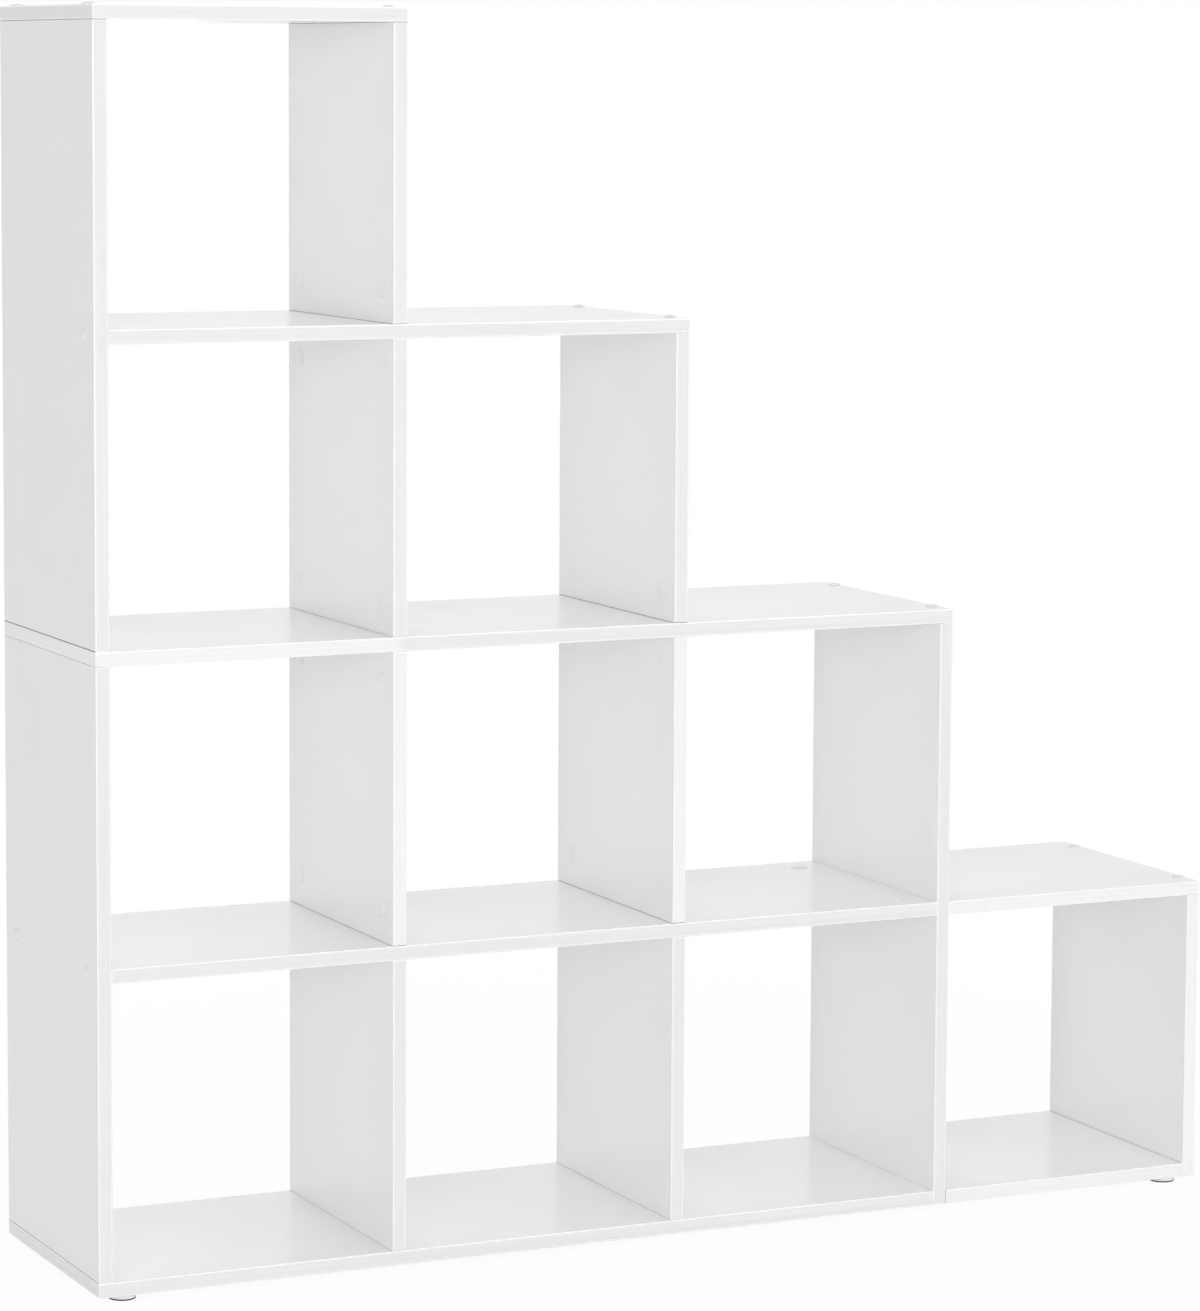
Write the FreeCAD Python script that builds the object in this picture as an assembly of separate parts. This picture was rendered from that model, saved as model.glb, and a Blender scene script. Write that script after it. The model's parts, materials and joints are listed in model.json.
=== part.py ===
"""Cube bookcase: ten open cubes in four columns that step down to the right.

Eighteen white melamine-faced boards are joined end to face with long screws, cam locks and
wooden dowels. Every edge that shows carries a thin plastic edging, and four low glides with
dark pads hold the case off the floor.
Frame: origin at the bottom centre on the floor, +X right, +Y back, +Z up, in millimetres.
"""
import FreeCAD
import Part
import math
import os

# Cubes and boards
cube_width = 304.0
cube_height = 304.0
board_thickness = 15.0
case_depth = 290.0
edging_thickness = 1.0
edging_round_share = 0.7
end_chamfer = 0.4

# Rows of fasteners, from the front and the rear edge of the boards
lock_setback = 33.0
dowel_spacing = 32.0

# Long board screws
screw_length = 50.0
screw_diameter = 7.0
screw_core_diameter = 5.0
screw_head_diameter = 10.0
screw_shank_length = 17.0
screw_pitch = 3.0
screw_tip_length = 4.0
screw_tip_diameter = 1.6
screw_socket_across_flats = 4.0
screw_socket_depth = 3.6
screw_hole_spare = 1.5

# Caps over the screw heads
screw_cap_diameter = 13.0
screw_cap_rim = 0.8
screw_cap_crown = 2.2
screw_cap_pin_length = 3.0

# Cam locks, the bolts that they pull on, and the covers over them
lock_diameter = 14.8
lock_reach = 34.0
lock_recess = 1.0
lock_floor = 3.0
lock_pocket_play = 1.2
lock_cross_length = 7.0
lock_cross_width = 1.4
lock_cross_depth = 2.0
bolt_diameter = 7.0
bolt_collar_diameter = 7.6
bolt_collar_length = 2.0
bolt_neck_diameter = 4.4
bolt_ball_diameter = 6.4
bolt_thread_length = 11.0
bolt_thread_diameter = 6.2
bolt_thread_core_diameter = 5.0
bolt_pitch = 2.2
bolt_channel_diameter = 8.0
lock_cap_overhang = 2.0
lock_cap_rim = 0.6
lock_cap_crown = 1.4
lock_cap_ring_wall = 1.0

# Wooden dowels
dowel_diameter = 8.0
dowel_length = 30.0
dowel_depth_in_face = 10.0
dowel_chamfer = 1.0
dowel_hole_spare = 0.5

# Glides, their pads and their screws
foot_diameter = 28.0
foot_top_diameter = 26.0
foot_body_height = 4.6
foot_counterbore_depth = 2.4
foot_side_margin = 2.0
foot_front_margin = 4.0
pad_diameter = 27.6
pad_thickness = 1.4
foot_screw_length = 14.0
foot_screw_diameter = 3.5
foot_screw_head_diameter = 7.0
foot_screw_head_height = 1.8

# Clearances, and the overrun of every cutting shape
hole_clearance = 0.1
lock_play = 0.2
foot_screw_clearance = 0.15
overrun = 1.0
same_place = 0.001
thread_ridge_share = 0.45
crown_arcs = 4

# Directions
RIGHT = FreeCAD.Vector(1, 0, 0)
BACK = FreeCAD.Vector(0, 1, 0)
UP = FreeCAD.Vector(0, 0, 1)

# The four columns hold 4, 3, 2 and 1 cubes
columns = 4
rows = 4

# Sizes that follow from the driving dimensions
column_pitch = cube_width + board_thickness
row_pitch = cube_height + board_thickness
case_width = columns * column_pitch + board_thickness
foot_height = foot_body_height + pad_thickness
half_board = board_thickness / 2
front_y = -case_depth / 2
rear_y = case_depth / 2


def left_face(line):
    """X of the left face of upright line 0 to 4, counted from the left."""
    return line * column_pitch - case_width / 2


def right_face(line):
    """X of the right face of that upright line."""
    return left_face(line) + board_thickness


def underside(level):
    """Z of the underside of flat level 0 to 4, counted from the floor."""
    return foot_height + level * row_pitch


def topside(level):
    """Z of the top of that flat level."""
    return underside(level) + board_thickness


def fastener_rows(steps):
    """The two Y places of a row of fasteners, moved inwards by a number of dowel spacings."""
    setback = lock_setback + steps * dowel_spacing
    return (front_y + setback, rear_y - setback)


lock_rows = fastener_rows(0)
dowel_rows = {"low": fastener_rows(1), "high": fastener_rows(2)}
hidden_screw_rows = fastener_rows(2)


class Board:
    """One board. along runs from its low end to its high end, across is through its thickness."""

    def __init__(self, name, along, across, low, high, free_ends):
        self.name = name
        self.along = along
        self.across = across
        self.low = low
        self.high = high
        self.free_ends = free_ends

    def end_centre(self, end, y):
        """The point on an end face, halfway through the thickness, in a row of fasteners."""
        centre = (self.low + self.high) / 2
        half_length = (self.high - self.low).dot(self.along) / 2
        way = -half_length if end == "low" else half_length
        point = centre + self.along * way
        return FreeCAD.Vector(point.x, y, point.z)

    def inward(self, end):
        """The direction from an end into the board."""
        return self.along if end == "low" else -self.along

    def inward_from_face(self, side):
        """The direction from its low or high face into the board."""
        return self.across if side == "low" else -self.across


def flat_board(name, level, left, right, free_ends=()):
    """A shelf, top or bottom on a flat level, between two X places."""
    low = FreeCAD.Vector(left, front_y, underside(level))
    high = FreeCAD.Vector(right, rear_y, topside(level))
    return Board(name, RIGHT, UP, low, high, free_ends)


def upright_board(name, line, bottom, top):
    """A side or divider on an upright line, between two Z places."""
    low = FreeCAD.Vector(left_face(line), front_y, bottom)
    high = FreeCAD.Vector(right_face(line), rear_y, top)
    return Board(name, UP, RIGHT, low, high, ())


def all_boards():
    """The flat boards, the sides, and the dividers row by row."""
    both = ("low", "high")
    boards = [
        flat_board("top_board", 4, left_face(0), right_face(1), both),
        flat_board("upper_shelf", 3, right_face(0), right_face(2), ("high",)),
        flat_board("middle_shelf", 2, left_face(0), right_face(3), both),
        flat_board("lower_shelf", 1, right_face(0), left_face(3)),
        flat_board("low_cube_top", 1, right_face(3), right_face(4), ("high",)),
        flat_board("bottom_board", 0, left_face(0), left_face(3), ("low",)),
        flat_board("low_cube_bottom", 0, right_face(3), left_face(4)),
        upright_board("left_side_upper", 0, topside(2), underside(4)),
        upright_board("left_side_lower", 0, topside(0), underside(2)),
        upright_board("tall_side", 3, underside(0), underside(2)),
        upright_board("low_cube_side", 4, underside(0), underside(1)),
    ]
    for line in (1, 2):
        for row in range(1, rows + 2 - line):
            name = "divider_%d_row_%d" % (line, row)
            boards.append(upright_board(name, line, topside(row - 1), underside(row)))
    return {board.name: board for board in boards}


# Screwed joints: the board that the screws pass through, the board whose end they enter, that
# end, the rows, and whether caps cover the heads
screwed_joints = (
    ("top_board", "left_side_upper", "high", lock_rows, True),
    ("top_board", "divider_1_row_4", "high", lock_rows, True),
    ("upper_shelf", "divider_2_row_3", "high", lock_rows, True),
    ("middle_shelf", "tall_side", "high", lock_rows, True),
    ("low_cube_top", "low_cube_side", "high", lock_rows, True),
    ("left_side_upper", "upper_shelf", "low", lock_rows, True),
    ("left_side_lower", "lower_shelf", "low", lock_rows, True),
    ("low_cube_side", "low_cube_bottom", "high", lock_rows, True),
    ("lower_shelf", "divider_1_row_1", "high", hidden_screw_rows, False),
    ("lower_shelf", "divider_2_row_1", "high", hidden_screw_rows, False),
    ("bottom_board", "left_side_lower", "low", lock_rows, False),
    ("bottom_board", "divider_1_row_1", "low", lock_rows, False),
    ("bottom_board", "divider_2_row_1", "low", lock_rows, False),
)

# Joints with cam locks on one side only: the board with the bolts, and the board whose low end
# stands on it
single_lock_joints = (
    ("lower_shelf", "divider_1_row_2"),
    ("lower_shelf", "divider_2_row_2"),
)

# Joints with cam locks on both sides of a board: the board that the bolts pass through, the
# board whose high end meets it, and the board whose low end meets it
double_lock_joints = (
    ("upper_shelf", "divider_1_row_3", "divider_1_row_4"),
    ("middle_shelf", "left_side_lower", "left_side_upper"),
    ("middle_shelf", "divider_1_row_2", "divider_1_row_3"),
    ("middle_shelf", "divider_2_row_2", "divider_2_row_3"),
    ("tall_side", "lower_shelf", "low_cube_top"),
    ("tall_side", "bottom_board", "low_cube_bottom"),
)

# Cam locks lie in a board's low face, its left side or underside, but for these boards
locks_in_high_face = ("left_side_upper", "left_side_lower", "lower_shelf")
locks_without_cap = ("bottom_board", "low_cube_bottom")

boards = all_boards()
holes = {name: [] for name in boards}
fittings = {
    "confirmat_screws": [],
    "screw_caps": [],
    "cam_locks": [],
    "cam_lock_caps": [],
    "cam_bolts": [],
    "double_cam_bolts": [],
    "wooden_dowels": [],
    "foot_screws": [],
}


def placed(shape, place, pointing):
    """A copy of shape with its origin at place and its +Z turned to pointing."""
    copy = shape.copy()
    copy.Placement = FreeCAD.Placement(place, FreeCAD.Rotation(UP, pointing))
    return copy


def placed_facing(shape, place, pointing, facing):
    """The same, with the +X of shape turned to facing as well."""
    turn = FreeCAD.Rotation(facing, pointing.cross(facing), pointing, "ZXY")
    copy = shape.copy()
    copy.Placement = FreeCAD.Placement(place, turn)
    return copy


def turned(points):
    """The solid that a closed outline of (radius, height) points makes when turned about Z."""
    corners = [FreeCAD.Vector(radius, 0, height) for radius, height in points]
    outline = Part.makePolygon(corners + corners[:1])
    return Part.Face(outline).revolve(FreeCAD.Vector(), UP, 360)


def thread_points(start, end, core_radius, crest_radius, pitch):
    """The outline of a thread's ridges, from start to end along its axis."""
    ridge = pitch * thread_ridge_share
    points = []
    for turn in range(int((end - start) / pitch)):
        foot = start + turn * pitch
        points.append((core_radius, foot))
        points.append((crest_radius, foot + ridge / 2))
        points.append((core_radius, foot + ridge))
    points.append((core_radius, end))
    return points


def hexagon_prism(across_flats, low, high):
    """A six-sided prism about Z."""
    radius = across_flats / math.sqrt(3)
    corners = []
    for corner in range(7):
        angle = math.radians(60 * corner)
        corners.append(FreeCAD.Vector(radius * math.cos(angle), radius * math.sin(angle), low))
    return Part.Face(Part.makePolygon(corners)).extrude(UP * (high - low))


def board_screw():
    """A long board screw along +Z: countersunk head at 0, plain shank, ridged thread, cone tip."""
    head = screw_head_diameter / 2
    shank = screw_diameter / 2
    core = screw_core_diameter / 2
    thread_end = screw_length - screw_tip_length
    outline = [(0, 0), (head, 0), (shank, head - shank), (shank, screw_shank_length)]
    outline += thread_points(screw_shank_length, thread_end, core, shank, screw_pitch)
    outline += [(screw_tip_diameter / 2, screw_length), (0, screw_length)]
    socket = hexagon_prism(screw_socket_across_flats, -overrun, screw_socket_depth)
    return turned(outline).cut(socket)


def screw_passage():
    """The countersunk hole for a board screw, through the first board."""
    head = screw_head_diameter / 2 + hole_clearance
    shank = screw_diameter / 2 + hole_clearance
    end = board_thickness + overrun
    cone = head - shank
    return turned([(0, -overrun), (head, -overrun), (head, 0), (shank, cone), (shank, end), (0, end)])


def screw_end_hole():
    """The hole that the thread has cut into the end of the second board."""
    depth = screw_length - board_thickness + screw_hole_spare
    start = FreeCAD.Vector(0, 0, -overrun)
    return Part.makeCylinder(screw_diameter / 2 + hole_clearance, depth + overrun, start)


def domed_cap(radius, rim, crown, plug):
    """A cap with its flange on z = 0, a flat rim, a domed crown, and a plug outline below it.

    The crown is one sphere, drawn as a few arcs, so that a coarse mesh of it keeps its curve.
    """
    rise = crown - rim
    sphere = (radius * radius + rise * rise) / (2 * rise)
    half_steps = 2 * crown_arcs
    angle = math.asin(radius / sphere) / half_steps

    def crown_point(step):
        across = sphere * math.sin(step * angle)
        return FreeCAD.Vector(across, 0, crown - sphere + sphere * math.cos(step * angle))

    points = [FreeCAD.Vector(r, 0, z) for r, z in plug + [(radius, 0)]] + [crown_point(half_steps)]
    edges = list(Part.makePolygon(points).Edges)
    for step in range(half_steps, 0, -2):
        edges.append(Part.Arc(crown_point(step), crown_point(step - 1), crown_point(step - 2)).toShape())
    edges.append(Part.makeLine(crown_point(0), points[0]))
    return Part.Face(Part.Wire(edges)).revolve(FreeCAD.Vector(), UP, 360)


def screw_cap():
    """A domed cap with a pin that plugs into the screw's socket."""
    pin = screw_socket_across_flats / 2 - hole_clearance
    plug = [(0, -screw_cap_pin_length), (pin, -screw_cap_pin_length), (pin, 0)]
    return domed_cap(screw_cap_diameter / 2, screw_cap_rim, screw_cap_crown, plug)


def lock_cap():
    """A domed cover with a short ring that plugs into the hole above the cam lock."""
    outer = lock_diameter / 2
    inner = outer - lock_cap_ring_wall
    depth = lock_recess - hole_clearance
    plug = [(0, 0), (inner, 0), (inner, -depth), (outer, -depth), (outer, 0)]
    return domed_cap(outer + lock_cap_overhang, lock_cap_rim, lock_cap_crown, plug)


def cam_lock():
    """A cam lock's drum. +Z runs into the board from its face, +X towards the bolt.

    The bolt's ball sits in a pocket off the drum's centre, so the wall bears on the ball's
    shoulder. A narrow slot lets the neck out over a quarter turn, and the ball goes in at the
    slot's other end.
    """
    radius = lock_diameter / 2
    height = board_thickness - lock_floor - lock_recess
    drum = Part.makeCylinder(radius, height, UP * lock_recess)
    reach = radius + overrun
    ball = bolt_ball_diameter / 2
    neck_width = bolt_neck_diameter + 2 * lock_play
    neck_low = half_board - neck_width / 2
    pocket_height = bolt_ball_diameter + 2 * lock_play
    pocket_centre = FreeCAD.Vector(hole_clearance - lock_pocket_play, 0, half_board - pocket_height / 2)
    pocket = Part.makeCylinder(ball + lock_pocket_play, pocket_height, pocket_centre)
    neck_corner = FreeCAD.Vector(0, -neck_width / 2, neck_low)
    neck_way = Part.makeBox(reach, neck_width, neck_width, neck_corner)
    quarter_slot = Part.makeCylinder(reach, neck_width, UP * neck_low, UP, 90)
    entry = Part.makeCylinder(ball + lock_play, reach, UP * half_board, BACK)
    cuts = [pocket, neck_way, quarter_slot, entry]
    for length, width in ((lock_cross_length, lock_cross_width), (lock_cross_width, lock_cross_length)):
        corner = FreeCAD.Vector(-length / 2, -width / 2, lock_recess - overrun)
        cuts.append(Part.makeBox(length, width, lock_cross_depth + overrun, corner))
    return drum.cut(cuts)


def lock_hole():
    """The round hole for a cam lock, from the board's face."""
    depth = board_thickness - lock_floor + hole_clearance
    return Part.makeCylinder(lock_diameter / 2 + hole_clearance, depth + overrun, UP * -overrun)


def bolt_channel():
    """The hole from a board's end to its cam lock."""
    return Part.makeCylinder(bolt_channel_diameter / 2, lock_reach + overrun, UP * -overrun)


def bolt_head_points():
    """The outline from a bolt's shaft over the neck to the ball, measured from the joint."""
    shaft = bolt_diameter / 2
    neck = bolt_neck_diameter / 2
    neck_start = lock_reach - lock_diameter / 2 - 2 * lock_play
    return [(shaft, neck_start), (neck, neck_start), (neck, lock_reach), (0, lock_reach)]


def bolt_ball(height):
    """The ball at a bolt's end."""
    return Part.makeSphere(bolt_ball_diameter / 2, UP * height)


def single_bolt():
    """A cam lock's bolt along +Z: thread below 0, collar on the joint, shaft, neck and ball."""
    core = bolt_thread_core_diameter / 2
    crest = bolt_thread_diameter / 2
    collar = bolt_collar_diameter / 2
    shaft = bolt_diameter / 2
    outline = [(0, -bolt_thread_length)]
    outline += thread_points(-bolt_thread_length, 0, core, crest, bolt_pitch)
    outline += [(collar, 0), (collar, bolt_collar_length), (shaft, bolt_collar_length)]
    outline += bolt_head_points()
    return turned(outline).fuse(bolt_ball(lock_reach))


def double_bolt():
    """A bolt with a ball at each end, about its middle, which lies inside the board between."""
    upper = [(radius, half_board + height) for radius, height in bolt_head_points()]
    lower = [(radius, -height) for radius, height in reversed(upper)]
    ball_height = half_board + lock_reach
    return turned(lower + upper).fuse([bolt_ball(ball_height), bolt_ball(-ball_height)])


def dowel():
    """A dowel along +Z from the bottom of its face hole, with chamfered ends."""
    radius = dowel_diameter / 2
    tip = radius - dowel_chamfer
    low = -dowel_depth_in_face
    high = dowel_length - dowel_depth_in_face
    outline = [(0, low), (tip, low), (radius, low + dowel_chamfer)]
    outline += [(radius, high - dowel_chamfer), (tip, high), (0, high)]
    return turned(outline)


def dowel_hole(depth):
    """A dowel's hole along +Z from the joint."""
    length = depth + dowel_hole_spare + overrun
    return Part.makeCylinder(dowel_diameter / 2 + hole_clearance, length, UP * -overrun)


def fit_screws(outer_name, end_name, end, screw_rows, capped):
    """Screws that pass through one board into an end of another."""
    end_board = boards[end_name]
    inward = end_board.inward(end)
    for y in screw_rows:
        joint = end_board.end_centre(end, y)
        head = joint - inward * board_thickness
        fittings["confirmat_screws"].append(placed(board_screw(), head, inward))
        holes[outer_name].append(placed(screw_passage(), head, inward))
        holes[end_name].append(placed(screw_end_hole(), joint, inward))
        if capped:
            fittings["screw_caps"].append(placed(screw_cap(), head, -inward))


def fit_locks(end_name, end):
    """A pair of cam locks near a board's end, with their covers, and the channels to them."""
    board = boards[end_name]
    inward = board.inward(end)
    side = "high" if end_name in locks_in_high_face else "low"
    into_face = board.inward_from_face(side)
    for y in lock_rows:
        joint = board.end_centre(end, y)
        face_point = joint + inward * lock_reach - into_face * half_board
        fittings["cam_locks"].append(placed_facing(cam_lock(), face_point, into_face, -inward))
        holes[end_name].append(placed(lock_hole(), face_point, into_face))
        holes[end_name].append(placed(bolt_channel(), joint, inward))
        if end_name not in locks_without_cap:
            fittings["cam_lock_caps"].append(placed(lock_cap(), face_point, -into_face))


def fit_dowels(face_name, end_name, end):
    """A pair of dowels between a board's end and the face that it meets."""
    board = boards[end_name]
    inward = board.inward(end)
    for y in dowel_rows[end]:
        joint = board.end_centre(end, y)
        fittings["wooden_dowels"].append(placed(dowel(), joint, inward))
        holes[end_name].append(placed(dowel_hole(dowel_length - dowel_depth_in_face), joint, inward))
        holes[face_name].append(placed(dowel_hole(dowel_depth_in_face), joint, -inward))


def fit_single_bolts(face_name, end_name):
    """Bolts screwed into a board's face, and the cam locks that pull on them."""
    board = boards[end_name]
    depth = bolt_thread_length + hole_clearance + overrun
    hole = Part.makeCylinder(bolt_thread_diameter / 2 + hole_clearance, depth, UP * -overrun)
    for y in lock_rows:
        joint = board.end_centre("low", y)
        fittings["cam_bolts"].append(placed(single_bolt(), joint, board.inward("low")))
        holes[face_name].append(placed(hole, joint, -board.inward("low")))
    fit_locks(end_name, "low")
    fit_dowels(face_name, end_name, "low")


def fit_double_bolts(middle_name, before_name, after_name):
    """Bolts through a board, with cam locks on both of its sides."""
    before = boards[before_name]
    length = board_thickness + 2 * overrun
    hole = Part.makeCylinder(bolt_diameter / 2 + hole_clearance, length, UP * (-length / 2))
    for y in lock_rows:
        middle = before.end_centre("high", y) + before.along * half_board
        fittings["double_cam_bolts"].append(placed(double_bolt(), middle, before.along))
        holes[middle_name].append(placed(hole, middle, before.along))
    for end_name, end in ((before_name, "high"), (after_name, "low")):
        fit_locks(end_name, end)
        fit_dowels(middle_name, end_name, end)


def foot_places():
    """The name of each corner, the board over its glide, and the glide's centre on that board."""
    side = case_width / 2 - board_thickness - foot_diameter / 2 - foot_side_margin
    end = case_depth / 2 - foot_diameter / 2 - foot_front_margin
    return (
        ("front_left", "bottom_board", FreeCAD.Vector(-side, -end, foot_height)),
        ("front_right", "low_cube_bottom", FreeCAD.Vector(side, -end, foot_height)),
        ("rear_left", "bottom_board", FreeCAD.Vector(-side, end, foot_height)),
        ("rear_right", "low_cube_bottom", FreeCAD.Vector(side, end, foot_height)),
    )


def foot_body():
    """A glide along +Z downwards from the board: a tapered disc with a counterbored hole."""
    hole = foot_screw_diameter / 2 + foot_screw_clearance
    bore = foot_screw_head_diameter / 2 + foot_screw_clearance
    seat = foot_body_height - foot_counterbore_depth
    outline = [(hole, 0), (foot_top_diameter / 2, 0), (foot_diameter / 2, foot_body_height)]
    outline += [(bore, foot_body_height), (bore, seat), (hole, seat)]
    return turned(outline)


def foot_pad():
    """The dark disc under a glide, along +Z downwards."""
    return Part.makeCylinder(pad_diameter / 2, pad_thickness, UP * foot_body_height)


def foot_screw():
    """A glide's screw, with its head against the seat of the counterbore."""
    seat = foot_body_height - foot_counterbore_depth
    head_end = seat + foot_screw_head_height
    head = foot_screw_head_diameter / 2
    shank = foot_screw_diameter / 2
    tip = seat - foot_screw_length
    outline = [(0, tip), (shank, tip + shank), (shank, seat), (head, seat), (head, head_end), (0, head_end)]
    return turned(outline)


def foot_screw_hole():
    """The hole for a glide's screw in the board over it."""
    depth = foot_screw_length - foot_body_height + foot_counterbore_depth + hole_clearance
    radius = foot_screw_diameter / 2 + foot_screw_clearance
    return Part.makeCylinder(radius, depth + overrun, UP * -depth)


def fit_feet():
    """The four glides with their pads, as nodes of their own, and their screws."""
    nodes = {}
    for corner, board_name, place in foot_places():
        nodes["foot_" + corner] = placed(foot_body(), place, -UP)
        nodes["foot_pad_" + corner] = placed(foot_pad(), place, -UP)
        fittings["foot_screws"].append(placed(foot_screw(), place, -UP))
        holes[board_name].append(placed(foot_screw_hole(), place, -UP))
    return nodes


def edges_on_face(solid, direction, place):
    """The edges of a solid that lie wholly on the plane across direction at place."""
    found = []
    for edge in solid.Edges:
        if all(abs(vertex.Point.dot(direction) - place) < same_place for vertex in edge.Vertexes):
            found.append(edge)
    return found


def long_way(edge, direction):
    """Whether an edge runs along a direction."""
    run = edge.Vertexes[-1].Point - edge.Vertexes[0].Point
    return abs(run.dot(direction)) > same_place


def block(low, high):
    """A box between two corners."""
    size = high - low
    return Part.makeBox(size.x, size.y, size.z, low)


def long_strip(board, front):
    """The edging along a board's front or rear edge, rounded all round its outer face."""
    inner_y = front_y + edging_thickness if front else rear_y - edging_thickness
    low = FreeCAD.Vector(board.low)
    high = FreeCAD.Vector(board.high)
    if front:
        high.y = inner_y
    else:
        low.y = inner_y
    strip = block(low, high)
    outer_y = front_y if front else rear_y
    return strip.makeFillet(edging_thickness * edging_round_share, edges_on_face(strip, BACK, outer_y))


def end_strip(board, end):
    """The edging on a free end of a board, between its front and rear strips."""
    low = board.low + BACK * edging_thickness
    high = board.high - BACK * edging_thickness
    length = (board.high - board.low).dot(board.along)
    if end == "low":
        high = high - board.along * (length - edging_thickness)
        place = low.dot(board.along)
    else:
        low = low + board.along * (length - edging_thickness)
        place = high.dot(board.along)
    strip = block(low, high)
    outer = [edge for edge in edges_on_face(strip, board.along, place) if long_way(edge, BACK)]
    return strip.makeFillet(edging_thickness * edging_round_share, outer)


def edging(board):
    """All the strips of one board."""
    strips = [long_strip(board, True), long_strip(board, False)]
    strips += [end_strip(board, end) for end in board.free_ends]
    return strips


def board_body(board):
    """A board inside its edging, with broken corners at its sawn ends and all its holes."""
    low = board.low + BACK * edging_thickness
    high = board.high - BACK * edging_thickness
    if "low" in board.free_ends:
        low = low + board.along * edging_thickness
    if "high" in board.free_ends:
        high = high - board.along * edging_thickness
    body = block(low, high)
    for end, corner in (("low", low), ("high", high)):
        if end not in board.free_ends:
            on_end = edges_on_face(body, board.along, corner.dot(board.along))
            body = body.makeChamfer(end_chamfer, [edge for edge in on_end if long_way(edge, BACK)])
    return body.cut(holes[board.name])


def write_node(name, solids):
    """Write one node, a single solid or a group of solids, to its own file."""
    group = Part.makeCompound([solid for shape in solids for solid in shape.Solids])
    group.exportStep("parts/" + name + ".step")


def main():
    """Fit every joint, then write the boards, the edging, the fittings and the glides."""
    os.makedirs("parts", exist_ok=True)
    for joint in screwed_joints:
        fit_screws(*joint)
    for joint in single_lock_joints:
        fit_single_bolts(*joint)
    for joint in double_lock_joints:
        fit_double_bolts(*joint)
    feet = fit_feet()
    for board in boards.values():
        write_node(board.name, [board_body(board)])
        write_node(board.name + "_edging", edging(board))
    for name, solids in fittings.items():
        write_node(name, solids)
    for name, solid in feet.items():
        write_node(name, [solid])


main()
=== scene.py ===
"""Finishes the cube bookcase and sets it in a plain studio.

The boards keep their construction and get a pebbled white melamine. The edging strips, the screw
caps, the lock covers and the glides are surfaces worked out here, in the places that the
construction gives them. All places are in metres: +X right, +Y back, +Z up, the floor at zero.
"""
import json
import math

import bpy
import numpy as np
from bpy.props import FloatProperty, FloatVectorProperty, IntProperty, PointerProperty
from bpy.types import Operator, Panel, PropertyGroup
from mathutils import Matrix, Vector

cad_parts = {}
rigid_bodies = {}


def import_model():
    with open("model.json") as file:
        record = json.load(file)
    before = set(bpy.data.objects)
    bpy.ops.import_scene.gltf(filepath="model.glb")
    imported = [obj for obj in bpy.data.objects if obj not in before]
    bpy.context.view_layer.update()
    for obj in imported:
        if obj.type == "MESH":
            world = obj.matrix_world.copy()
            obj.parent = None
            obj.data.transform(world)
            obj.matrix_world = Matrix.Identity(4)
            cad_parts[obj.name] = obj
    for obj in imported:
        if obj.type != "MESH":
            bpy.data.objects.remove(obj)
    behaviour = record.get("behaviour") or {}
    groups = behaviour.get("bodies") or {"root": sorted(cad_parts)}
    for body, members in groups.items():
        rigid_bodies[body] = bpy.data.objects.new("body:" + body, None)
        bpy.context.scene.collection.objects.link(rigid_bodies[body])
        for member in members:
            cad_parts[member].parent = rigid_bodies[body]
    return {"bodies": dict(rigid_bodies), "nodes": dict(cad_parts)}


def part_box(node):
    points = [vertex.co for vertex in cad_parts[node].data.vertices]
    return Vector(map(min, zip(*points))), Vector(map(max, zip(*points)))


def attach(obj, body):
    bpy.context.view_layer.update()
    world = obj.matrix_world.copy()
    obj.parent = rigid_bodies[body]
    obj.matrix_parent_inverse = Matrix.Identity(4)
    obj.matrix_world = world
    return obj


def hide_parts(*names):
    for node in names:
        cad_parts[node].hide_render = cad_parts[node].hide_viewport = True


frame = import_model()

bl_info = {
    "name": "Cube bookcase finish",
    "version": (1, 0, 0),
    "blender": (4, 5, 0),
    "location": "3D View > Sidebar > Bookcase",
    "description": "Edging, caps, glides and finishes of a stepped cube bookcase, and its studio",
    "category": "Object",
}

MILLIMETRE = 0.001
BODY = next(iter(frame["bodies"]))
RIGHT = np.array((1.0, 0.0, 0.0))
BACK = np.array((0.0, 1.0, 0.0))
UP = np.array((0.0, 0.0, 1.0))

# Boards by the way that they lie
FLAT_BOARDS = (
    "top_board", "upper_shelf", "middle_shelf", "lower_shelf", "low_cube_top", "bottom_board",
    "low_cube_bottom",
)
UPRIGHT_BOARDS = (
    "left_side_upper", "left_side_lower", "tall_side", "low_cube_side",
    "divider_1_row_1", "divider_1_row_2", "divider_1_row_3", "divider_1_row_4",
    "divider_2_row_1", "divider_2_row_2", "divider_2_row_3",
)
# How open the joint at a board's lower or left end is, and at its upper or right end. The strips'
# gaps follow it, and so does the raw core colour in the broken corner of a sawn end, which paints
# the shade of the joint's gap: dark where it is open, as pale as the face where it is drawn tight.
JOINT_GAP_AND_SHADE_SHARES = {
    "left_side_upper": (1.0, 0.8), "left_side_lower": (0.8, 0.2),
    "divider_1_row_1": (0.35, 0.15), "divider_1_row_2": (0.75, 0.15),
    "divider_1_row_3": (0.35, 0.15), "divider_1_row_4": (0.75, 0.9),
    "divider_2_row_1": (0.35, 0.15), "divider_2_row_2": (0.9, 0.15),
    "divider_2_row_3": (1.0, 0.3), "upper_shelf": (0.4, 0.0),
    "lower_shelf": (0.0, 0.2), "bottom_board": (0.0, 0.2), "low_cube_bottom": (0.8, 0.7),
}
TIGHT_JOINT_GAP_AND_SHADE_SHARES = (0.1, 0.25)
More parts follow.
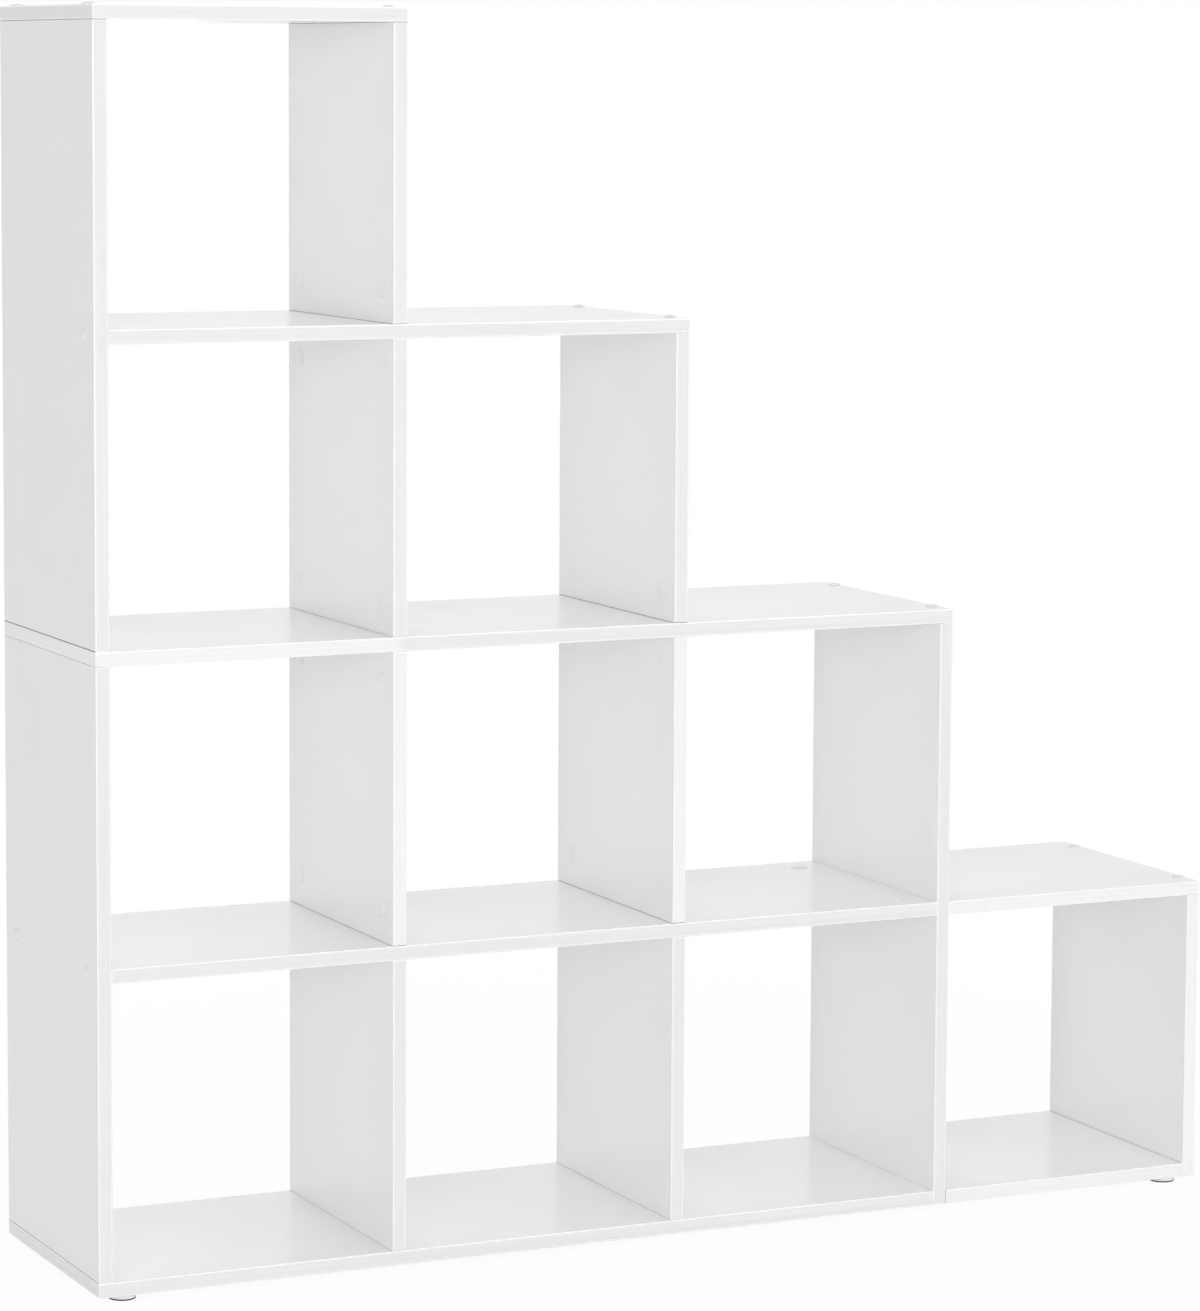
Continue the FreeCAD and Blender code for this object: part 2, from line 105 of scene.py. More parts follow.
# Boards with a painted shadow of the joint's gap along one sawn end, as a ragged line of raw core:
# which end, 0 for the lower or left one, how far the line reaches in, and how much core it shows
PAINTED_GAP_SHADOW_ENDS = {
    "left_side_upper": (0, 1.0 * MILLIMETRE, 1.0),
    "left_side_lower": (0, 1.0 * MILLIMETRE, 0.9),
    "low_cube_bottom": (1, 0.8 * MILLIMETRE, 0.8),
}
# Boards whose edging is from a brighter roll
BRIGHT_EDGED_BOARDS = (
    "low_cube_top", "low_cube_bottom", "low_cube_side", "divider_1_row_2", "divider_2_row_2",
)
# The board whose edging changes from the brighter roll to the other, and the upright where it does
TWO_ROLL_BOARD = "middle_shelf"
ROLL_CHANGE_BOARD = "divider_1_row_2"

CORNERS = ("front_left", "front_right", "rear_left", "rear_right")


def numpy_box(node):
    """The lowest and highest corner of a node of the construction, as arrays."""
    low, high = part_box(node)
    return np.array(low), np.array(high)


def joint_gap_and_shade_shares(board):
    """How open the joints at a board's two ends are, for their gaps and their painted shade."""
    return JOINT_GAP_AND_SHADE_SHARES.get(board, TIGHT_JOINT_GAP_AND_SHADE_SHARES)


def strip_end_shares(board):
    """How open the gaps at the ends of a board's strips are; none where a shadow line is painted, which the
    strip covers.
    """
    gap_and_shade_shares = list(joint_gap_and_shade_shares(board))
    if board in PAINTED_GAP_SHADOW_ENDS:
        gap_and_shade_shares[PAINTED_GAP_SHADOW_ENDS[board][0]] = 0.0
    return gap_and_shade_shares


# The thickness of the edging, read from the construction
EDGING_THICKNESS = float(numpy_box("top_board")[0][1] - numpy_box("top_board_edging")[0][1])


class BookcaseSizes(PropertyGroup):
    """Small sizes that the finish adds to the construction."""

    edging_round: FloatProperty(
        name="Edging round", description="Depth of the trimmed round along the edges of the edging",
        default=0.85 * EDGING_THICKNESS, unit="LENGTH")
    edging_round_reach: FloatProperty(
        name="Edging round reach", description="How far the trimmed round reaches over the outer face",
        default=1.9 * EDGING_THICKNESS, unit="LENGTH")
    strip_gap: FloatProperty(
        name="Strip gap", description="Gap at a strip's end where the joint is fully open",
        default=0.6 * MILLIMETRE, unit="LENGTH")
    glue_line: FloatProperty(
        name="Glue line", description="Width of the hairline between the edging and the board's face",
        default=0.1 * MILLIMETRE, unit="LENGTH")
    cap_round: FloatProperty(
        name="Cap round", description="Radius of the rounded rim of the caps and covers",
        default=0.3 * MILLIMETRE, unit="LENGTH")
    glide_round: FloatProperty(
        name="Glide round", description="Radius of the rounded rims of the glides",
        default=0.5 * MILLIMETRE, unit="LENGTH")
    glide_taper: FloatProperty(
        name="Glide taper", description="How much narrower a glide's radius is at its top",
        default=1.0 * MILLIMETRE, unit="LENGTH")
    arc_steps: IntProperty(
        name="Arc steps", description="Faces across each rounded edge", default=5)
    turn_steps: IntProperty(
        name="Turn steps", description="Faces round each turned piece", default=48)


class BookcaseColours(PropertyGroup):
    """Colours of the finishes."""

    board: FloatVectorProperty(
        name="Board", description="White melamine of the boards", subtype="COLOR",
        default=(0.90, 0.90, 0.90))
    core: FloatVectorProperty(
        name="Core", description="Raw particle board at sawn ends and in holes", subtype="COLOR",
        default=(0.16, 0.145, 0.13))
    edging: FloatVectorProperty(
        name="Edging", description="White plastic edging", subtype="COLOR",
        default=(0.88, 0.88, 0.88))
    bright_edging: FloatVectorProperty(
        name="Bright edging", description="Edging from the brighter roll", subtype="COLOR",
        default=(0.955, 0.955, 0.955))
    # The paler colour of the cut-back rounds is a painted highlight along the edging's edges
    trimmed_highlight_edging: FloatVectorProperty(
        name="Trimmed edging", description="Rounded edges of the edging, where its skin is cut back",
        subtype="COLOR", default=(0.985, 0.985, 0.985))
    screw_cap: FloatVectorProperty(
        name="Screw cap", description="Caps on the screws", subtype="COLOR",
        default=(0.90, 0.90, 0.90))
    lock_cover: FloatVectorProperty(
        name="Lock cover", description="Covers on the cam locks", subtype="COLOR",
        default=(0.90, 0.90, 0.90))
    glide: FloatVectorProperty(
        name="Glide", description="White plastic of the glides", subtype="COLOR",
        default=(0.96, 0.96, 0.96))
    pad: FloatVectorProperty(
        name="Pad", description="Dark pads under the glides", subtype="COLOR",
        default=(0.02, 0.02, 0.021))
    steel: FloatVectorProperty(
        name="Steel", description="Bright plating of the screws and bolts", subtype="COLOR",
        default=(0.66, 0.67, 0.68))
    zinc: FloatVectorProperty(
        name="Zinc", description="Cast metal of the cam locks", subtype="COLOR",
        default=(0.46, 0.46, 0.47))
    beech: FloatVectorProperty(
        name="Beech", description="Bare wood of the dowels", subtype="COLOR",
        default=(0.72, 0.55, 0.37))
    beech_fleck: FloatVectorProperty(
        name="Beech fleck", description="Darker flecks in the dowels", subtype="COLOR",
        default=(0.5, 0.33, 0.18))
    floor: FloatVectorProperty(
        name="Floor", description="Plain pale floor", subtype="COLOR",
        default=(0.95, 0.95, 0.95))


class BookcaseStage(PropertyGroup):
    """Sizes and strengths of the studio."""

    floor_size: FloatProperty(
        name="Floor size", description="Side of the square floor", default=60.0, unit="LENGTH")
    floor_glow: FloatProperty(
        name="Floor glow", description="Share of plain white in what the camera sees of the floor",
        default=0.95, subtype="FACTOR")
    shadow_start: FloatProperty(
        name="Shadow start", description="Distance from the middle where the shadow starts to fade",
        default=0.9, unit="LENGTH")
    shadow_end: FloatProperty(
        name="Shadow end", description="Distance from the middle where the floor is plain white",
        default=1.7, unit="LENGTH")
    sky: FloatProperty(
        name="Sky", description="Strength of the soft light from all round", default=0.40)
    lens: FloatProperty(
        name="Lens", description="Focal length for a sensor 36 mm high", default=127.52,
        unit="CAMERA")


class Signal:
    """A socket of a shader that can be used in sums: each operator adds its Math node."""

    def __init__(self, recipe, socket):
        self.recipe = recipe
        self.socket = socket

    def __add__(self, other):
        return self.recipe.maths("ADD", self, other)

    def __sub__(self, other):
        return self.recipe.maths("SUBTRACT", self, other)

    def __mul__(self, other):
        return self.recipe.maths("MULTIPLY", self, other)

    def __radd__(self, other):
        return self.recipe.maths("ADD", other, self)

    def __rsub__(self, other):
        return self.recipe.maths("SUBTRACT", other, self)

    def __rmul__(self, other):
        return self.recipe.maths("MULTIPLY", other, self)

    def __gt__(self, other):
        return self.recipe.maths("GREATER_THAN", self, other)

    def __lt__(self, other):
        return self.recipe.maths("LESS_THAN", self, other)

    def __abs__(self):
        return self.recipe.maths("ABSOLUTE", self)

    def greatest(self, other):
        """The greater of two values."""
        return self.recipe.maths("MAXIMUM", self, other)


class Recipe:
    """The node tree of a material or of the world, emptied and built up again."""

    def __init__(self, owner):
        owner.use_nodes = True
        self.tree = owner.node_tree
        self.tree.nodes.clear()

    def node(self, kind, settings=None, sockets=None, output=0):
        """Adds a node, sets it, and fills or links its sockets. Gives one of its outputs."""
        made = self.tree.nodes.new(kind)
        for name, value in (settings or {}).items():
            setattr(made, name, value)
        for name, value in (sockets or {}).items():
            if isinstance(value, Signal):
                self.tree.links.new(value.socket, made.inputs[name])
            else:
                made.inputs[name].default_value = value
        return Signal(self, made.outputs[output]) if made.outputs else None

    def maths(self, operation, *values):
        """One Math node."""
        return self.node("ShaderNodeMath", {"operation": operation}, dict(enumerate(values)))

    def mix(self, share, first, second):
        """Two colours mixed by a share."""
        sockets = {0: share, 6: colour_of(first), 7: colour_of(second)}
        return self.node("ShaderNodeMix", {"data_type": "RGBA"}, sockets, 2)

    def tinted(self, colour, factor):
        """A colour made lighter or darker by a factor that varies about one."""
        sockets = {0: colour if isinstance(colour, Signal) else tuple(colour), 3: factor}
        return self.node("ShaderNodeVectorMath", {"operation": "SCALE"}, sockets)

    def places(self, kind="Object"):
        """Places on the piece, by its object coordinates or by its own map."""
        return self.node("ShaderNodeTexCoord", output=kind)

    def stretched(self, places, scale):
        """Places scaled differently along each axis."""
        return self.node("ShaderNodeMapping", sockets={"Vector": places, "Scale": scale})

    def parts(self, vector):
        """The three parts of a vector."""
        first = self.node("ShaderNodeSeparateXYZ", sockets={0: vector})
        outputs = first.socket.node.outputs
        return [Signal(self, outputs[axis]) for axis in range(3)]

    def noise(self, places, scale, detail=2.0, roughness=0.5):
        """Smooth noise, zero to one."""
        sockets = {"Vector": places, "Scale": scale, "Detail": detail, "Roughness": roughness}
        return self.node("ShaderNodeTexNoise", sockets=sockets)

    def grains(self, places, scale):
        """Distance to the nearest of scattered points."""
        return self.node("ShaderNodeTexVoronoi", sockets={"Vector": places, "Scale": scale})

    def bump(self, height, distance, strength=1.0):
        """A normal from a height, which is zero to one over a distance."""
        sockets = {"Height": height, "Distance": distance, "Strength": strength}
        return self.node("ShaderNodeBump", sockets=sockets)

    def surface(self, sockets):
        """The shader itself and its output."""
        shader = self.node("ShaderNodeBsdfPrincipled", sockets=sockets)
        self.finish(shader)

    def finish(self, shader, kind="ShaderNodeOutputMaterial"):
        """Links a shader to the output."""
        self.node(kind, sockets={"Surface": shader})


def colour_of(value):
    """A colour socket's value from three numbers, or a signal as it is."""
    return value if isinstance(value, Signal) else (*value, 1.0)


def material(name, recipe_maker, *values, **named):
    """A material with the nodes that a recipe function gives it."""
    made = bpy.data.materials.new(name)
    recipe_maker(Recipe(made), *values, **named)
    return made


def around_one(noise, amount):
    """A factor that varies about one with a noise, by an amount either way."""
    return (noise - 0.5) * (2.0 * amount) + 1.0


# A face that looks along an axis has nearly all of its normal on it, and a broken corner a part
SQUARE_ON_SHARE = 0.999
BROKEN_CORNER_SHARE = 0.3


def melamine(recipe, colour, core, across, along, gap_and_shade_shares, gap_shadow):
    """Pebbled white melamine on a board's two faces, and raw particle board on its sawn sides.

    across and along are the axes through the board's thickness and along its length. The two
    joint values are how much raw core colour is painted into the broken corners of its two ends,
    as the shade of the joints' gaps. The last value, if given, is the place of an end with a painted
    shadow line of the joint's gap, the way in from it, how far the line reaches in and how much core
    colour it shows.
    """
    places = recipe.places()
    pebble = recipe.noise(places, scale=1500.0, detail=2.0, roughness=0.55)
    cloud = recipe.noise(places, scale=7.0, detail=3.0)
    speck = recipe.noise(places, scale=260.0, detail=1.0)
    shade = around_one(cloud, amount=0.010) * around_one(speck, amount=0.006)
    face_colour = recipe.tinted(colour, shade)
    flake = recipe.grains(places, scale=420.0)
    core_colour = recipe.tinted(core, around_one(flake, amount=0.35))
    facing = recipe.parts(recipe.node("ShaderNodeNewGeometry", output="Normal"))
    on_face = abs(facing[across]) > SQUARE_ON_SHARE
    sawn = abs(facing[along]).greatest(abs(facing[1])) > SQUARE_ON_SHARE
    # Raw core colour in the broken corners of the two ends, by how open each joint is: painted shade of the
    # joint's gap
    low_corner_shade = (facing[along] < -BROKEN_CORNER_SHARE) * gap_and_shade_shares[0]
    high_corner_shade = (facing[along] > BROKEN_CORNER_SHARE) * gap_and_shade_shares[1]
    core_and_painted_shade = sawn.greatest((1.0 - on_face) * (low_corner_shade + high_corner_shade))
    # A ragged line of raw core colour reaching in from one end: a painted shadow of the joint's gap
    if gap_shadow is not None:
        end, inward, reach, share = gap_shadow
        ragged = recipe.noise(recipe.stretched(places, (300.0, 300.0, 1.0)), scale=1.0, detail=2.0)
        inside = (recipe.parts(places)[along] - end) * inward
        core_and_painted_shade = core_and_painted_shade.greatest((inside < (ragged * 0.5 + 0.75) * reach) * share)
    recipe.surface({
        "Base Color": recipe.mix(core_and_painted_shade, face_colour, core_colour),
        "Roughness": 0.21 + (cloud - 0.5) * 0.05 + core_and_painted_shade * 0.6,
        "Normal": recipe.bump(pebble, distance=0.02 * MILLIMETRE, strength=0.25),
        "IOR": 1.6,
    })


# The rounds that the cutter leaves on the edging, paler as a painted highlight, are where no axis has
# this much of the normal
TRIMMED_BELOW_SHARE = 0.995


def edging_plastic(recipe, colour, trimmed_highlight, second_colour=None, change_at=0.0, change_width=0.0):
    """White edging with faint lines drawn along it, and two colours if it changes rolls.

    The strip's own map runs lengthways in its first part, so the lines follow each strip. The
    rounded edges, which face between two axes, are where the cutter trims the skin back: polished,
    and paler, which paints a highlight along them.
    """
    strip = recipe.places("UV")
    places = recipe.places()
    line = recipe.noise(recipe.stretched(strip, (1.6, 360.0, 1.0)), scale=1.0, detail=2.0)
    fine_line = recipe.noise(recipe.stretched(strip, (14.0, 2600.0, 1.0)), scale=1.0, detail=2.0)
    cloud = recipe.noise(places, scale=9.0, detail=2.0)
    shade = around_one(line, amount=0.10) * around_one(cloud, amount=0.006)
    if second_colour is not None:
        x_place = recipe.parts(places)[0]
        share = recipe.node(
            "ShaderNodeMapRange", {"interpolation_type": "SMOOTHSTEP"},
            {"Value": x_place, "From Min": change_at, "From Max": change_at + change_width})
        colour = recipe.mix(share, colour, second_colour)
    facing = recipe.parts(recipe.node("ShaderNodeNewGeometry", output="Normal"))
    squareness = abs(facing[0]).greatest(abs(facing[1])).greatest(abs(facing[2]))
    rounded = squareness < TRIMMED_BELOW_SHARE
    recipe.surface({
        # The rounds take the paler colour, a painted highlight along the edging's edges
        "Base Color": recipe.mix(rounded, recipe.tinted(colour, shade), trimmed_highlight),
        "Roughness": 0.40 + (fine_line - 0.5) * 0.12 - rounded * 0.06,
        "Coat Weight": rounded,
        "Coat Roughness": 0.3,
        "Coat IOR": 1.8,
        "Normal": recipe.bump(fine_line * 0.6 + line * 0.4, distance=0.03 * MILLIMETRE, strength=0.5),
        "IOR": 1.5,
    })


def moulded_plastic(recipe, colour, grain_scale, roughness):
    """Moulded plastic with a fine spark-eroded grain."""
    places = recipe.places()
    grain = recipe.noise(places, scale=grain_scale, detail=3.0, roughness=0.6)
    cloud = recipe.noise(places, scale=60.0, detail=2.0)
    recipe.surface({
        "Base Color": recipe.tinted(colour, around_one(cloud, amount=0.012)),
        "Roughness": roughness + (grain - 0.5) * 0.12,
        "Normal": recipe.bump(grain, distance=0.02 * MILLIMETRE, strength=0.5),
        "IOR": 1.48,
    })


def pad_rubber(recipe, colour):
    """Dark rubbery felt with short fibres and paler flecks."""
    places = recipe.places()
    fibre = recipe.noise(places, scale=2400.0, detail=4.0, roughness=0.7)
    fleck = recipe.noise(places, scale=500.0, detail=2.0)
    recipe.surface({
        "Base Color": recipe.tinted(colour, around_one(fleck, amount=0.3)),
        "Roughness": 0.88 + (fibre - 0.5) * 0.1,
        "Normal": recipe.bump(fibre, distance=0.15 * MILLIMETRE, strength=0.8),
        "IOR": 1.45,
    })


def plated_steel(recipe, colour):
    """Bright zinc plating with fine turning marks and a faint cloudy tint."""
    places = recipe.places()
    cloud = recipe.noise(places, scale=120.0, detail=3.0)
    mark = recipe.noise(recipe.stretched(places, (900.0, 900.0, 5200.0)), scale=1.0, detail=2.0)
    recipe.surface({
        "Base Color": recipe.tinted(colour, around_one(cloud, amount=0.08)),
        "Metallic": 1.0,
        "Roughness": 0.27 + (mark - 0.5) * 0.16 + (cloud - 0.5) * 0.1,
        "Normal": recipe.bump(mark, distance=0.01 * MILLIMETRE, strength=0.5),
    })


def cast_zinc(recipe, colour):
    """Die-cast zinc with a dull, slightly pitted skin."""
    places = recipe.places()
    pit = recipe.grains(places, scale=1300.0)
    cloud = recipe.noise(places, scale=150.0, detail=3.0)
    recipe.surface({
        "Base Color": recipe.tinted(colour, around_one(cloud, amount=0.12)),
        "Metallic": 1.0,
        "Roughness": 0.5 + (cloud - 0.5) * 0.2,
        "Normal": recipe.bump(pit, distance=0.03 * MILLIMETRE, strength=0.5),
    })


def bare_beech(recipe, colour, dark_colour):
    """Bare beech with a cloudy grain and short dark flecks."""
    places = recipe.places()
    grain = recipe.noise(places, scale=420.0, detail=3.0)
    fleck = recipe.grains(places, scale=1500.0) < 0.32
    recipe.surface({
        "Base Color": recipe.mix(grain * 0.5 + fleck * 0.35, colour, dark_colour),
        "Roughness": 0.62 + (grain - 0.5) * 0.12,
        "Normal": recipe.bump(grain - fleck * 0.5, distance=0.04 * MILLIMETRE, strength=0.5),
    })


WHITE = (1.0, 1.0, 1.0, 1.0)


def seen_directly(recipe):
    """One for rays from the camera and for mirrored or refracted ones, else zero."""
    rays = recipe.node("ShaderNodeLightPath").socket.node.outputs
    names = ("Is Camera Ray", "Is Glossy Ray", "Is Transmission Ray")
    camera, glossy, through = (Signal(recipe, rays[name]) for name in names)
    return camera.greatest(glossy).greatest(through)


def pale_floor(recipe, colour, glow, fade_start, fade_end):
    """A pale matt floor that the camera sees as white, with the shadow kept in part.

    Away from the bookcase the floor turns to plain white, so that no horizon shows.
    """
    distance = recipe.node("ShaderNodeVectorMath", {"operation": "LENGTH"}, {0: recipe.places()}, output=1)
    share = recipe.node(
        "ShaderNodeMapRange", {"interpolation_type": "SMOOTHSTEP"},
        {"Value": distance, "From Min": fade_start, "From Max": fade_end, "To Min": glow, "To Max": 1.0})
    matt = recipe.node("ShaderNodeBsdfDiffuse", sockets={"Color": colour_of(colour)})
    shaded = recipe.node("ShaderNodeBsdfDiffuse", sockets={"Color": WHITE})
    white = recipe.node("ShaderNodeEmission", sockets={"Color": WHITE, "Strength": 1.0})
    seen = recipe.node("ShaderNodeMixShader", sockets={0: share, 1: shaded, 2: white})
    shown = recipe.node("ShaderNodeMixShader", sockets={0: seen_directly(recipe), 1: matt, 2: seen})
    recipe.finish(shown)


def soft_sky(recipe, strength):
    """Even light from all round, and plain white where it is seen."""
    light = recipe.node("ShaderNodeBackground", sockets={"Color": WHITE, "Strength": strength})
    white = recipe.node("ShaderNodeBackground", sockets={"Color": WHITE, "Strength": 1.0})
    shown = recipe.node("ShaderNodeMixShader", sockets={0: seen_directly(recipe), 1: light, 2: white})
    recipe.finish(shown, "ShaderNodeOutputWorld")


# Corners sharper than this stay sharp when a surface is smoothed
SHARP_ANGLE = math.radians(40.0)
QUARTER_TURN = math.pi / 2


class Skin:
    """Vertices, faces and a flat map gathered from several sheets, for one mesh."""

    def __init__(self):
        self.points = []
        self.maps = []
        self.faces = []
        self.count = 0

    def add(self, points, flat_map, faces):
        """Adds a sheet: its points, their places on the flat map, and faces by point number."""
        self.points.append(points)
        self.maps.append(flat_map)
        self.faces += [tuple(int(corner) + self.count for corner in face) for face in faces]
        self.count += len(points)

    def mesh(self, name):
        """The mesh, with smooth rounds between sharp corners."""
        made = bpy.data.meshes.new(name)
        made.from_pydata(np.concatenate(self.points).tolist(), [], self.faces)
        corners = np.empty(len(made.loops), np.int32)
        made.loops.foreach_get("vertex_index", corners)
        layer = made.uv_layers.new(name="lengthways")
        layer.data.foreach_set("uv", np.concatenate(self.maps)[corners].astype(np.float32).ravel())
        made.shade_smooth()
        made.set_sharp_from_angle(angle=SHARP_ANGLE)
        made.validate()
        return made


def grid_faces(rows, columns):
    """The quads of a grid of points stored row by row."""
    first = (np.arange(rows - 1)[:, None] * columns + np.arange(columns - 1)[None, :]).ravel()
    return np.stack([first, first + columns, first + columns + 1, first + 1], axis=1)


def band_faces(lower, upper):
    """The quads between two closed loops of point numbers."""
    return np.stack([lower, np.roll(lower, -1), np.roll(upper, -1), upper], axis=1)


def outer_loop(rows, columns):
    """The point numbers round a grid's border, in the order that its quads turn."""
    number = np.arange(rows * columns).reshape(rows, columns)
    return np.concatenate([number[:-1, 0], number[-1, :-1], number[:0:-1, -1], number[0, :0:-1]])


# The place beside a round, as a share of its reach
BESIDE_ROUND_SHARE = 1.15


def rounded_stations(length, reach, depth, steps):
    """Places along a side, and how far the face steps back there.

    Near each end the place is the reach times one less the cosine of an angle, and the step back
    is the depth times one less its sine, so the face meets its side in a quarter of an oval. A
    place close beside each round keeps the flat between them flat.
    """
    angle = np.linspace(0.0, QUARTER_TURN, steps + 1)
    place = reach * (1.0 - np.cos(angle))
    back = depth * (1.0 - np.sin(angle))
    beside = BESIDE_ROUND_SHARE * reach
    places = np.concatenate([place, [beside, length - beside], length - place[::-1]])
    return places, np.concatenate([back, [0.0, 0.0], back[::-1]])


def strip_sheet(sizes, settings, round_ends):
    """A closed edging strip with its outer face at height zero, and its body below.

    The outer face is a height over a grid: it steps back by the deeper of two rounds, one along
    each way. Its border drops to the board in one band, and a second band draws it in by the glue
    line, so that a hairline shows where the strip meets the board's face. On the flat map the sides
    carry on from the outer face.
    """
    length, width, thickness = sizes
    reach, depth = settings.edging_round_reach, settings.edging_round
    glue_line = settings.glue_line
    across, back_across = rounded_stations(width, reach, depth, settings.arc_steps)
    if round_ends:
        along, back_along = rounded_stations(length, depth, depth, settings.arc_steps)
    else:
        along, back_along = np.array([0.0, length]), np.zeros(2)
    a, b = np.meshgrid(along, across, indexing="ij")
    height = -np.maximum(back_along[:, None], back_across[None, :])
    face = np.stack([a, b, height], axis=-1).reshape(-1, 3)
    loop = outer_loop(len(along), len(across))
    rim = face[loop]
    drop = rim * (1.0, 1.0, 0.0) + (0.0, 0.0, glue_line - thickness)
    inset_share = np.array([1.0 - 2.0 * glue_line / length, 1.0 - 2.0 * glue_line / width, 0.0])
    foot = rim * inset_share + (glue_line, glue_line, -thickness)
    points = np.concatenate([face, drop, foot])
    drop_loop = len(face) + np.arange(len(loop))
    foot_loop = drop_loop + len(loop)
    faces = [tuple(quad) for quad in grid_faces(len(along), len(across))]
    faces += [tuple(quad) for quad in band_faces(drop_loop, loop)]
    faces += [tuple(quad) for quad in band_faces(foot_loop, drop_loop)]
    faces.append(tuple(foot_loop[::-1]))
    flat_map = points[:, :2] - (0.0, 1.0) * points[:, 2:] * np.sign(points[:, 1:2] - width / 2)
    return points, flat_map, faces


def placed_strip(skin, corner, along, across, outward, sizes, settings, round_ends):
    """Adds a strip whose outer face has its low corner at a place and faces outward."""
    points, flat_map, faces = strip_sheet(sizes, settings, round_ends)
    axes = np.stack([along, across, outward])
    if np.linalg.det(axes) < 0:
        faces = [face[::-1] for face in faces]
    skin.add(corner + points @ axes, flat_map, faces)


def edging_skin(board, settings):
    """All the strips of one board, from the difference between its own box and its edging's."""
    low, high = numpy_box(board)
    outer_low, outer_high = numpy_box(board + "_edging")
    along, across = (RIGHT, UP) if board in FLAT_BOARDS else (UP, RIGHT)
    size = outer_high - outer_low
    length, width = size @ along, size @ across
    thickness = low[1] - outer_low[1]
    skin = Skin()
    low_gap, high_gap = (settings.strip_gap * share for share in strip_end_shares(board))
    long_sizes = (length - low_gap - high_gap, width, thickness)
    front_corner = outer_low + along * low_gap
    rear_corner = front_corner + BACK * size[1]
    placed_strip(skin, front_corner, along, across, -BACK, long_sizes, settings, True)
    placed_strip(skin, rear_corner, along, across, BACK, long_sizes, settings, True)
    depth = high[1] - low[1]
    inner_corner = outer_low + BACK * thickness
    # A free end has a strip as well, and there the edging's box reaches past the board's
    if (low - outer_low) @ along > thickness / 2:
        placed_strip(skin, inner_corner, BACK, across, -along, (depth, width, thickness), settings, False)
    if (outer_high - high) @ along > thickness / 2:
        far_corner = inner_corner + along * length
        placed_strip(skin, far_corner, BACK, across, along, (depth, width, thickness), settings, False)
    return skin


def arc_points(centre, radius, start, turn, steps):
    """Points along part of a circle about a centre, as (radius, height), from a start angle."""
    angle = start + np.linspace(0.0, turn, steps + 1)
    return np.stack([centre[0] + radius * np.cos(angle), centre[1] + radius * np.sin(angle)], axis=1)


def turned_sheet(outline, steps):
    """The closed surface that an outline of (radius, height) makes when turned about an axis.

    The outline starts and ends on the axis and runs up its outside. A point at angle t is its
    radius times (cos t, sin t), at its own height, and each end is a single point.
    """
    angle = np.arange(steps) * (2.0 * math.pi / steps)
    rings = outline[1:-1]
    circle = np.stack([np.cos(angle), np.sin(angle)], axis=1)
    flat = circle[:, None, :] * rings[None, :, :1]
    heights = np.broadcast_to(rings[None, :, 1:], flat.shape[:2] + (1,))
    body = np.concatenate([flat, heights], axis=2).reshape(-1, 3)
    poles = np.array([(0.0, 0.0, outline[0, 1]), (0.0, 0.0, outline[-1, 1])])
    points = np.concatenate([body, poles])
    count = len(rings)
    number = np.arange(steps)[:, None] * count + np.arange(count)[None, :]
    beside = np.roll(number, -1, axis=0)
    quads = np.stack([number[:, :-1], beside[:, :-1], beside[:, 1:], number[:, 1:]], axis=2)
    low_pole = np.full(steps, len(body))
    low_fan = np.stack([low_pole, beside[:, 0], number[:, 0]], axis=1)
    high_fan = np.stack([low_pole + 1, number[:, -1], beside[:, -1]], axis=1)
    faces = [*map(tuple, quads.reshape(-1, 4)), *map(tuple, low_fan), *map(tuple, high_fan)]
    reach = np.concatenate([[0.0], np.cumsum(np.linalg.norm(np.diff(outline, axis=0), axis=1))])
    body_map = np.stack([np.repeat(angle, count) * rings[:, 0].max(), np.tile(reach[1:-1], steps)], axis=1)
    flat_map = np.concatenate([body_map, [(0.0, 0.0), (0.0, reach[-1])]])
    return points, flat_map, faces


def facing_axes(outward):
    """Two axes across a direction, which with it make a right-handed set."""
    first = BACK
    second = np.cross(outward, first)
    return np.stack([first, second, outward])


# How near two heights in the construction are when they count as one, and the decimals of a metre
# that tell two places apart
SAME_HEIGHT = 0.01 * MILLIMETRE
PLACE_DECIMALS = 6
# Points with more than this share of the widest radius count as the widest ring
WIDEST_SHARE = 0.98


def joined_shells(node):
    """The points of each separate solid in a node of the construction.

    Points in the same place are one point. Each starts with its own number, and every edge gives
    both its ends the lower number, over and over, until a whole solid shares one.
    """
    mesh = frame["nodes"][node].data
    raw = np.empty(len(mesh.vertices) * 3, np.float32)
    mesh.vertices.foreach_get("co", raw)
    rounded = np.round(raw.reshape(-1, 3).astype(float), PLACE_DECIMALS)
    points, same = np.unique(rounded, axis=0, return_inverse=True)
    ends = np.empty(len(mesh.edges) * 2, np.int32)
    mesh.edges.foreach_get("vertices", ends)
    first, second = same.ravel()[ends.reshape(-1, 2)].T
    label = np.arange(len(points))
    while True:
        lower = np.minimum(label[first], label[second])
        fresh = label.copy()
        np.minimum.at(fresh, first, lower)
        np.minimum.at(fresh, second, lower)
        fresh = fresh[fresh]
        if np.array_equal(fresh, label):
            break
        label = fresh
    return [points[label == value] for value in np.unique(label)]


